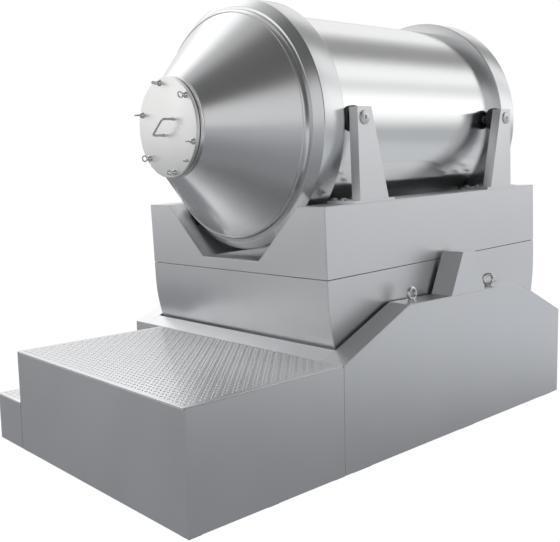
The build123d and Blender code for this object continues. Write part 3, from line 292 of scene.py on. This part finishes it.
def sheetSteel(name, look):
    # rolled sheet: hair-fine grain along one direction, slow clouds in shade and polish, a few handling smears
    material = bpy.data.materials.new(name)
    s = Shader(material)
    grain = s.noise(s.place(scale=look["grain"]), 1.0, 3.0, 0.6)
    cloud = s.noise(s.place(), look["cloud"], 4.0)
    smear = s.noise(s.place(turn=(0.3, 0.2, 0.5), scale=(0.5, 0.5, 1.6)), 3.0, 2.0)
    shade = (grain - 0.5) * look["vary"] + (cloud - 0.5) * 0.5 + 0.5
    s.finish(colour=s.blend(shade, scaled(look["colour"], 0.94), scaled(look["colour"], 1.04)), metallic=1.0,
             rough=look["rough"] + (cloud - 0.5) * 0.10 + (smear - 0.5) * 0.10 + (grain - 0.5) * 0.12,
             normal=s.bump(grain, look["bump"], 0.0004))
    return material


def turnedSteel(name, look):
    # polished or brushed round the drum's axis: the grain depends on the radius and the place along the axis only
    material = bpy.data.materials.new(name)
    s = Shader(material)
    centre = parked(np.array([0, 0, machine["drumZ"]])).tolist()
    level = s.add("ShaderNodeSeparateXYZ", None, [s.place(centre, (machine["parkedTilt"], 0, 0))])
    radius = (level["X"] ** 2 + level["Z"] ** 2) ** 0.5
    track = s.add("ShaderNodeCombineXYZ", None, [radius * look["pitch"], level["Y"] * look["pitch"],
                                                 level["X"].angleTo(level["Z"]) * look["arc"]])["Vector"]
    grain = s.noise(track, 1.0, 3.0, 0.65)
    cloud = s.noise(s.place(), look["cloud"], 3.0)
    shade = (grain - 0.5) * look["vary"] + (cloud - 0.5) * 0.4 + 0.5
    s.finish(colour=s.blend(shade, scaled(look["colour"], 0.95), scaled(look["colour"], 1.04)), metallic=1.0,
             rough=look["rough"] + (cloud - 0.5) * 0.06 + (grain - 0.5) * 0.08,
             normal=s.bump(grain, look["bump"], 0.0008))
    return material


def plainFinish(name, look):
    # paint, rubber and castings: a fine skin, and wear that shows a second colour in patches
    material = bpy.data.materials.new(name)
    s = Shader(material)
    skin = s.noise(s.place(), look["skin"], 3.0, 0.6)
    cloud = s.noise(s.place(), look["cloud"], 4.0, 0.6)
    worn = s.ranged(cloud, 0.58, 0.78, 0.0, look["worn"])
    s.finish(colour=s.blend(worn + (skin - 0.5) * 0.3, look["colour"], look["under"]), metallic=look["metallic"],
             rough=look["rough"] + (skin - 0.5) * 0.15, normal=s.bump(skin, look["bump"], 0.0008))
    return material


sheetLooks = {
    "satin_panel": {"colour": (0.805, 0.812, 0.826), "rough": 0.40, "grain": (0.0015, 0.0015, 0.09), "cloud": 2.2,
                    "vary": 0.5, "bump": 0.10},
    "bright_cover": {"colour": (0.92, 0.92, 0.91), "rough": 0.40, "grain": (0.05, 0.02, 0.0012), "cloud": 4.0,
                     "vary": 0.12, "bump": 0.015},
    "deck_plate": {"colour": (0.80, 0.805, 0.815), "rough": 0.36, "grain": (0.10, 0.0015, 0.0015), "cloud": 3.0,
                   "vary": 0.5, "bump": 0.08},
    "fastener": {"colour": (0.66, 0.66, 0.67), "rough": 0.32, "grain": (0.002, 0.002, 0.010), "cloud": 30.0,
                 "vary": 0.6, "bump": 0.10},
    "polished_rod": {"colour": (0.80, 0.80, 0.80), "rough": 0.18, "grain": (0.010, 0.010, 0.010), "cloud": 25.0,
                     "vary": 0.4, "bump": 0.06},
    "shaft_steel": {"colour": (0.60, 0.60, 0.61), "rough": 0.30, "grain": (0.05, 0.002, 0.05), "cloud": 12.0,
                    "vary": 0.6, "bump": 0.10},
    "chain_steel": {"colour": (0.34, 0.33, 0.32), "rough": 0.42, "grain": (0.01, 0.01, 0.01), "cloud": 18.0,
                    "vary": 0.8, "bump": 0.15},
}
turnedLooks = {
    "polished_drum": {"colour": (0.84, 0.845, 0.85), "rough": 0.13, "pitch": 230.0, "arc": 0.5, "cloud": 1.6,
                      "vary": 0.35, "bump": 0.40},
    "brushed_cone": {"colour": (0.77, 0.775, 0.785), "rough": 0.24, "pitch": 320.0, "arc": 0.8, "cloud": 2.5,
                     "vary": 0.6, "bump": 0.12},
    "turned_ring": {"colour": (0.76, 0.765, 0.775), "rough": 0.24, "pitch": 500.0, "arc": 0.6, "cloud": 4.0,
                    "vary": 0.5, "bump": 0.10},
}
plainLooks = {
    "mill_steel": {"colour": (0.20, 0.215, 0.235), "under": (0.30, 0.31, 0.32), "rough": 0.55, "metallic": 0.2,
                   "skin": 260.0, "cloud": 6.0, "worn": 0.5, "bump": 0.25},
    "dark_wheel": {"colour": (0.035, 0.036, 0.040), "under": (0.075, 0.075, 0.08), "rough": 0.48, "metallic": 0.0,
                   "skin": 420.0, "cloud": 22.0, "worn": 0.6, "bump": 0.20},
    "roller_tyre": {"colour": (0.030, 0.030, 0.033), "under": (0.08, 0.08, 0.085), "rough": 0.55, "metallic": 0.0,
                    "skin": 300.0, "cloud": 14.0, "worn": 0.7, "bump": 0.20},
    "cast_housing": {"colour": (0.13, 0.15, 0.175), "under": (0.24, 0.25, 0.26), "rough": 0.50, "metallic": 0.1,
                     "skin": 160.0, "cloud": 9.0, "worn": 0.5, "bump": 0.55},
    "motor_paint": {"colour": (0.09, 0.15, 0.22), "under": (0.18, 0.22, 0.27), "rough": 0.42, "metallic": 0.0,
                    "skin": 200.0, "cloud": 9.0, "worn": 0.4, "bump": 0.30},
    "seal": {"colour": (0.045, 0.045, 0.048), "under": (0.10, 0.10, 0.10), "rough": 0.45, "metallic": 0.0,
             "skin": 300.0, "cloud": 20.0, "worn": 0.4, "bump": 0.12},
}
finishes = {slot: sheetSteel(slot + "Finish", look) for slot, look in sheetLooks.items()}
finishes.update({slot: turnedSteel(slot + "Finish", look) for slot, look in turnedLooks.items()})
finishes.update({slot: plainFinish(slot + "Finish", look) for slot, look in plainLooks.items()})
for node, carriedOver in nodes.items():
    carriedOver.data.materials.clear()
    carriedOver.data.materials.append(finishes[slotOfNode[node]])
print("finishes made:", len(finishes))


# Drum: shell, cone with its knuckle and weld, riding rings, rear head

drum = {
    "radius": 0.566, "wall": 0.005, "ringRadius": 0.620, "ringWidth": 0.135, "bevelLength": 0.035,
    "bevelDepth": 0.040, "ringFront": -0.240, "ringRear": 1.090, "coneCorner": -0.429, "headCorner": 1.279,
    "knuckle": 0.064, "mouthRadius": 0.236, "headDepth": 0.105, "headFlat": 0.260, "segments": 192,
}
drum["mouthY"] = drum["coneCorner"] - (drum["radius"] - drum["mouthRadius"])


def aroundDrum(corners, radii, segments=drum["segments"], steps=5):
    return turned(corners, radii, (0, 0, machine["drumZ"]), segments=segments, steps=steps)


def weldBead(r, y, width, height, segments=drum["segments"]):
    # a low half-round bead lying round the drum at one radius
    turn = np.linspace(0, 2 * np.pi, 10, endpoint=False)
    return aroundDrum(np.stack([r + height * np.sin(turn), y + width * np.cos(turn)], axis=1), [0] * 10, segments)


def buildDrum():
    d = drum
    inner = d["radius"] - d["wall"]
    split, headSplit = d["coneCorner"] + d["knuckle"] / 2, d["headCorner"] - d["wall"]
    headFace = d["headCorner"] + d["headDepth"]
    makePiece("drumShell", "drum_cylinder", [
        aroundDrum([(d["radius"], split), (d["radius"], headSplit), (inner, headSplit), (inner, split)], [0] * 4),
    ], isParked=True)
    makePiece("coneShell", "front_cone", [
        aroundDrum([(d["mouthRadius"], d["mouthY"]), (d["radius"], d["coneCorner"]), (d["radius"], split), (inner, split),
                    (inner, d["coneCorner"] + d["wall"] * np.tan(np.pi / 8)),
                    (d["mouthRadius"] - d["wall"] * np.sqrt(2), d["mouthY"])],
                   [0, d["knuckle"], 0, 0, d["knuckle"] - d["wall"], 0], steps=12),
        weldBead(0.5520, -0.4440, 0.0030, 0.0012),
    ], isParked=True)
    for name, node, face, outward in (("frontRing", "front_ring", d["ringFront"], -1),
                                      ("rearRing", "rear_ring", d["ringRear"], 1)):
        edge = face + outward * d["ringWidth"]
        end = edge + outward * d["bevelLength"]
        makePiece(name, node, [
            aroundDrum([(d["radius"], face), (d["ringRadius"], face), (d["ringRadius"], edge),
                        (d["ringRadius"] - d["bevelDepth"], end), (d["radius"], end)],
                       [0, 0.005, 0.006, 0.004, 0]),
        ], isParked=True)
    makePiece("rearHead", "rear_head", [
        aroundDrum([(d["radius"], headSplit), (d["radius"], d["headCorner"]), (d["headFlat"], headFace), (0, headFace),
                    (0, headFace - d["wall"]), (d["headFlat"] - 0.002, headFace - d["wall"]), (inner, headSplit)],
                   [0, 0.045, 0.090, 0, 0, 0.085, 0.004], steps=10),
        weldBead(d["radius"], d["headCorner"] - 0.012, 0.004, 0.0012),
    ], isParked=True)
    print("drum built")


# Outlet: flange, cover with its drain plug, handle and eye nuts

outlet = {
    "bore": 0.190, "flange": 0.239, "cover": 0.234, "flangeFace": -0.779, "gasketFace": -0.782, "coverFace": -0.800,
    "studCircle": 0.213, "firstAngle": 50, "eyeTurns": [80, 5, 45, 85, 0, 30], "plugAngle": 138,
    "nutRadius": 0.013, "nutHeight": 0.016, "eyeRadius": 0.013, "wireRadius": 0.0035,
    "feet": ((0.053, 0.037), (-0.033, -0.033)), "reach": 0.060, "rod": 0.0055, "bend": 0.014,
}


def onCircle(degrees):
    angle = np.radians(degrees)
    return outlet["studCircle"] * np.sin(angle), machine["drumZ"] + outlet["studCircle"] * np.cos(angle)


def outwards(corners, radii, x, z, segments=32):
    # a turned form standing on the cover's face, its axis pointing away from the drum
    return turned(corners, radii, (x, outlet["coverFace"], z), (0, -1, 0), segments=segments)


def buildOutlet():
    o = outlet
    face = o["coverFace"]
    makePiece("outletFlange", "outlet_flange", [
        aroundDrum([(o["bore"], o["flangeFace"]), (o["flange"], o["flangeFace"]), (o["flange"], drum["mouthY"]),
                    (o["bore"], drum["mouthY"])], [0.002, 0.0015, 0.0015, 0.002], 144),
        weldBead(drum["mouthRadius"] - 0.001, drum["mouthY"] + 0.001, 0.004, 0.0035, 144),
    ], isParked=True)
    plugX, plugZ = onCircle(o["plugAngle"])
    makePiece("outletCover", "outlet_cover", [
        aroundDrum([(0, face), (o["cover"], face), (o["cover"], o["gasketFace"]), (0, o["gasketFace"])],
                   [0, 0.003, 0.001, 0], 144),
        outwards([(0, 0), (0.007, 0), (0.007, 0.012), (0.004, 0.012), (0.0035, 0.024), (0, 0.024)],
                 [0, 0, 0.0015, 0.001, 0.001, 0], plugX, plugZ),
    ], isParked=True)
    (xa, za), (xb, zb) = o["feet"]
    z = machine["drumZ"]
    path = roundedLine([(xa, face, z + za), (xa, face - o["reach"], z + za), (xb, face - o["reach"], z + zb),
                        (xb, face, z + zb)], [0, o["bend"], o["bend"], 0], 10, closed=False)
    handle = [bentRod(path, (zb - za, 0, xa - xb), o["rod"])]
    for x, dz in o["feet"]:
        handle.append(outwards([(0, 0), (0.0095, 0), (0.0058, 0.0045), (0, 0.0045)], [0, 0.001, 0.003, 0], x, z + dz))
    makePiece("coverHandle", "cover_handle", handle, isParked=True)
    nuts = []
    radius, top = o["nutRadius"], o["nutHeight"]
    for count, turn in enumerate(o["eyeTurns"]):
        x, z = onCircle(o["firstAngle"] + 60 * count)
        nuts.append(outwards([(0.0058, 0), (radius * 1.15, 0), (radius * 1.15, 0.004), (radius * 0.72, 0.008),
                              (radius * 0.66, top), (0, top), (0, 0.010), (0.0058, 0.010)],
                             [0, 0.001, 0.002, 0.003, 0.002, 0, 0, 0], x, z))
        lean = np.radians(turn)
        nuts.append(ringOf((x, face - top - o["eyeRadius"] + 0.001, z), (np.sin(lean), 0, np.cos(lean)),
                           o["eyeRadius"], o["wireRadius"]))
    makePiece("eyeNuts", "eye_nuts", nuts, isParked=True)
    print("outlet built")


# Retaining wheels with their axles, and the lifting eyebolts

wheels = {"places": {"front": -0.1797, "rear": 1.0297}, "radius": 0.060, "inner": 0.589, "outer": 0.627,
          "bore": 0.01505, "bracketIn": 0.633, "bracketOut": 0.685, "cap": 0.033, "capRise": 0.008}


def buildWheels():
    w = wheels
    low, high = w["inner"], w["outer"]
    capOut = w["bracketOut"] + w["capRise"]
    axles = []
    for end, y in w["places"].items():
        centre = (0, y, machine["drumZ"])
        makePiece(end + "Wheel", end + "_wheel", [
            turned([(w["bore"], low), (0.025, low), (0.025, low + 0.009), (0.048, low + 0.009), (0.048, low),
                    (w["radius"], low), (w["radius"], high), (0.048, high), (0.048, high - 0.009), (0.025, high - 0.009),
                    (0.025, high), (w["bore"], high)],
                   [0.001, 0.0015, 0.002, 0.003, 0.002, 0.006, 0.006, 0.002, 0.003, 0.002, 0.0015, 0.001],
                   centre, (1, 0, 0), segments=72),
        ], isParked=True)
        axles.append(turned([(0, low - 0.008), (0.022, low - 0.008), (0.022, low - 0.0003), (0.015, low - 0.0003),
                             (0.015, high + 0.0003), (0.022, high + 0.0003), (0.022, w["bracketIn"]),
                             (0.015, w["bracketIn"]), (0.015, w["bracketOut"]), (w["cap"], w["bracketOut"]),
                             (w["cap"], w["bracketOut"] + 0.005), (0.012, capOut), (0.009, capOut), (0.006, capOut - 0.006),
                             (0, capOut - 0.006)],
                            [0, 0.002, 0.001, 0, 0, 0.001, 0.002, 0, 0, 0, 0.003, 0.004, 0.001, 0, 0],
                            centre, (1, 0, 0), segments=56))
    makePiece("wheelAxles", "wheel_axles", axles, isParked=True)
    print("wheels built")


eyebolts = {"x": 0.7675, "base": 0.710, "ring": 0.027, "wire": 0.009, "collar": 0.020,
            "places": ((0.032, 0.0), (0.705, -32.0))}


def buildEyebolts():
    e = eyebolts
    parts = []
    for side in (-1, 1):
        for y, turn in e["places"]:
            lean = np.radians(turn) * side
            parts.append(turned([(0, 0), (e["collar"], 0), (e["collar"], 0.006), (0.012, 0.010), (0.009, 0.016), (0, 0.016)],
                                [0, 0.001, 0.003, 0.003, 0.002, 0], (side * e["x"], y, e["base"]), (0, 0, 1), (1, 0, 0), 40))
            parts.append(ringOf((side * e["x"], y, e["base"] + 0.010 + e["ring"]), (np.cos(lean), np.sin(lean), 0),
                                e["ring"], e["wire"], 64, 20))
    makePiece("liftingEyebolts", "lifting_eyebolts", parts)
    print("eyebolts built")


# Platform and step: bent sheet sides and plates with raised tears

platform = {
    "left": -0.570, "right": 0.830, "front": -1.375, "rear": -0.527, "height": 0.500, "stepLeft": -0.830,
    "stepHeight": 0.240, "sheet": 0.004, "bend": 0.007, "lift": 0.003, "plate": 0.006,
    "tearPitch": 0.0255, "tearLength": 0.0110, "tearWidth": 0.0048, "tearRise": 0.0026, "margin": 0.014,
}


def tears(x0, x1, y0, y1, top):
    # low lens shapes on a square grid, turned 45 degrees one way and the other in turn: each has
    # eight points at its foot, eight at half size near its top, and a peak
    p = platform
    countX, countY = (int((span - 2 * p["margin"]) / p["tearPitch"]) for span in (x1 - x0, y1 - y0))
    ix, iy = (axis.ravel() for axis in np.meshgrid(np.arange(countX), np.arange(countY), indexing="ij"))
    cx = (x0 + x1) / 2 + (ix - (countX - 1) / 2) * p["tearPitch"]
    cy = (y0 + y1) / 2 + (iy - (countY - 1) / 2) * p["tearPitch"]
    lean = np.where((ix + iy) % 2 == 0, np.pi / 4, -np.pi / 4)[:, None]
    t = np.linspace(0, 2 * np.pi, 8, endpoint=False)
    loop = np.stack([p["tearLength"] * np.cos(t), p["tearWidth"] * np.sin(t)], axis=1)
    u, v = np.concatenate([loop, loop * 0.55, np.zeros((1, 2))]).T
    height = np.concatenate([np.full(8, top - 0.0001), np.full(8, top + 0.8 * p["tearRise"]), [top + p["tearRise"]]])
    x = cx[:, None] + u * np.cos(lean) - v * np.sin(lean)
    y = cy[:, None] + u * np.sin(lean) + v * np.cos(lean)
    k, offset = np.arange(8), 17 * np.arange(len(cx))[:, None, None]
    groups = [np.stack([k, (k + 1) % 8, (k + 1) % 8 + 8, k + 8], axis=1), np.stack([k + 8, (k + 1) % 8 + 8, 0 * k + 16], axis=1),
              k[None, ::-1]]
    points = np.stack([x, y, np.broadcast_to(height, x.shape)], axis=-1).reshape(-1, 3)
    return points, [(offset + group).reshape(-1, group.shape[1]) for group in groups]


def buildPlatform():
    p = platform
    mid = p["sheet"] / 2
    left, right, front, rear = p["left"], p["right"], p["front"], p["rear"]
    wallTop, stepTop, joint = p["height"] - p["plate"], p["stepHeight"] - p["plate"], left - 0.0005
    makePiece("platformSides", "platform_panels", [
        bentWall([(left + mid, rear), (left + mid, front + mid), (right - mid, front + mid), (right - mid, rear)],
                 p["lift"], wallTop, p["sheet"], p["bend"]),
    ])
    makePiece("stepSides", "step_panels", [
        bentWall([(p["stepLeft"] + mid, rear), (p["stepLeft"] + mid, front + mid), (joint, front + mid)],
                 p["lift"], stepTop, p["sheet"], p["bend"]),
    ])
    makePiece("treadPlates", "tread_plates", [
        plate([(left, front), (right, front), (right, rear), (left, rear)], wallTop, p["height"], 0.009, 0.0025),
        plate([(p["stepLeft"], front), (joint, front), (joint, rear), (p["stepLeft"], rear)], stepTop, p["stepHeight"],
              0.006, 0.0025),
        tears(left, right, front, rear, p["height"]),
        tears(p["stepLeft"], left, front, rear, p["stepHeight"]),
    ], sharp=0.5)
    print("platform built")


# Sheet panels, ledges, hoods and brackets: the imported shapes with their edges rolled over

rolledEdges = {
    "side_panel_right": 0.0012, "side_panel_left": 0.0012, "base_front_panel": 0.001, "base_rear_panel": 0.001,
    "ledge_strips": 0.0015, "front_slope_panel": 0.001, "rear_slope_panel": 0.001, "bearing_hood_right": 0.0018,
    "bearing_hood_left": 0.0018, "swing_end_panels": 0.0015, "swing_side_panels": 0.0015, "trough_pan": 0.0012,
    "skirt_ends": 0.0012, "skirt_sides": 0.0012, "front_bracket": 0.0025, "rear_bracket": 0.0025,
}


def buildSheets():
    for node, width in rolledEdges.items():
        words = node.split("_")
        softened(words[0] + "".join(word.capitalize() for word in words[1:]), node, width)
    print("sheet pieces rolled:", len(rolledEdges))


# Studio: white to the camera, and to the metal a room of soft boxes and dark flags

studio = {
    "floorSize": 60.0, "cameraPlace": (3.0327, -2.9172, 1.3011), "azimuth": 47.3719, "elevation": 6.7071,
    "roll": -1.3183, "focalPixels": 764.59, "imageWidth": 560, "ambient": 0.55,
    "lobes": [  # direction, cosine at its edge, cosine where it is full, brightness
        ((-0.80, 0.12, 0.59), 0.80, 0.96, 1.45),
        ((-0.86, 0.46, 0.20), 0.90, 0.98, 0.90),
        ((0.34, -0.60, 0.72), 0.72, 0.93, 0.15),
        ((0.80, -0.15, 0.58), 0.55, 0.85, 0.12),
        ((0.65, -0.75, 0.14), 0.90, 0.98, 0.78),
        ((-0.78, -0.62, 0.06), 0.93, 0.985, 1.30),
    ],
    # behind the machine, strips that run along Y: angle from straight up towards +X in degrees, brightness
    "strips": [(-180, 0.40), (-70, 0.60), (-60, 0.92), (-24, 1.00), (-16, 0.66), (-7, 0.38), (9, 0.34), (17, 0.62),
               (24, 1.04), (36, 1.10), (47, 0.80), (54, 1.00), (61, 1.25), (74, 1.28), (83, 0.98), (90, 0.66),
               (96, 0.52), (180, 0.40)],
    "stripsFrom": (0.50, 0.66),
}


def buildCamera():
    data = bpy.data.cameras.new("photoCamera")
    camera = bpy.data.objects.new("photoCamera", data)
    bpy.context.scene.collection.objects.link(camera)
    data.sensor_fit, data.sensor_width, data.clip_end = "HORIZONTAL", 36.0, 100
    data.lens = studio["focalPixels"] / studio["imageWidth"] * data.sensor_width
    azimuth, elevation, roll = (np.radians(studio[key]) for key in ("azimuth", "elevation", "roll"))
    back = Vector((np.sin(azimuth) * np.cos(elevation), -np.cos(azimuth) * np.cos(elevation), np.sin(elevation)))
    right = Vector((np.cos(azimuth), np.sin(azimuth), 0))
    up = back.cross(right)
    axes = Matrix((np.cos(roll) * right + np.sin(roll) * up, -np.sin(roll) * right + np.cos(roll) * up, back))
    camera.matrix_world = Matrix.Translation(studio["cameraPlace"]) @ axes.transposed().to_4x4()
    bpy.context.scene.camera = camera


def buildWorld():
    world = bpy.data.worlds.new("studioWorld")
    bpy.context.scene.world = world
    s = Shader(world)
    direction = s.add("ShaderNodeTexCoord")["Generated"]
    part = s.add("ShaderNodeSeparateXYZ", None, [direction])
    level = studio["ambient"]
    for aim, edge, full, brightness in studio["lobes"]:
        toward = s.add("ShaderNodeVectorMath", {"operation": "DOT_PRODUCT"},
                       [direction, tuple(Vector(aim).normalized())])["Value"]
        share = s.ranged(toward, edge, full, 0.0, 1.0)
        level = level * (1 - share) + share * brightness
    stops = [(degrees / 360 + 0.5, brightness / 1.3) for degrees, brightness in studio["strips"]]
    round = part["X"].angleTo(part["Z"]) / (2 * np.pi) + 0.5
    strips = s.add("ShaderNodeValToRGB", {"stops": stops}, [round])["Color"] * 1.3
    behind = s.ranged(part["Y"], *studio["stripsFrom"], 0.0, 1.0)
    level = level * (1 - behind) + strips * behind
    seen = s.add("ShaderNodeLightPath")["Is Camera Ray"]
    backdrop = s.add("ShaderNodeBackground", None, {"Color": (1, 1, 1, 1), "Strength": level * (1 - seen) + seen})
    s.add("ShaderNodeOutputWorld", None, {"Surface": backdrop["Background"]})


def buildFloor():
    half = studio["floorSize"] / 2
    mesh = bpy.data.meshes.new("floor")
    mesh.from_pydata([(-half, -half, 0), (half, -half, 0), (half, half, 0), (-half, half, 0)], [], [(0, 1, 2, 3)])
    floor = bpy.data.objects.new("floor", mesh)
    bpy.context.scene.collection.objects.link(floor)
    paper = bpy.data.materials.new("paperFloor")
    s = Shader(paper)
    place = s.add("ShaderNodeSeparateXYZ", None, [s.add("ShaderNodeTexCoord")["Object"]])
    # in the metal the floor is dark by the machine, palest some metres off behind and to the right, and paler
    # again far off in front on the right
    reach = s.ranged(place["X"] * 0.6 + place["Y"] * 0.8, 0.2, 3.8, 0.27, 0.64)
    fall = s.ranged(place["X"] * 0.6 + place["Y"] * 0.8, 5.5, 10.0, 0.0, 0.12)
    level = reach - fall + s.ranged(place["X"] * 0.7 - place["Y"] * 0.7, 2.0, 8.0, 0.0, 0.2)
    mirrored = s.add("ShaderNodeEmission", None, {"Color": (0.93, 0.96, 1, 1), "Strength": level})["Emission"]
    matt = s.add("ShaderNodeBsdfDiffuse", None, {"Color": (0.9, 0.9, 0.9, 1)})["BSDF"]
    white = s.add("ShaderNodeEmission", None, {"Color": (1, 1, 1, 1), "Strength": 1.03})["Emission"]
    seen = s.add("ShaderNodeMixShader", None, {"Fac": 0.96, 1: matt, 2: white})["Shader"]
    isSeen = s.add("ShaderNodeLightPath")["Is Camera Ray"]
    both = s.add("ShaderNodeMixShader", None, {"Fac": isSeen, 1: mirrored, 2: seen})["Shader"]
    s.add("ShaderNodeOutputMaterial", None, {"Surface": both})
    mesh.materials.append(paper)


buildCamera()
buildWorld()
buildFloor()
print("studio built")
buildDrum()
buildOutlet()
buildWheels()
buildEyebolts()
buildPlatform()
buildSheets()
bpy.context.scene.view_settings.view_transform = "Standard"
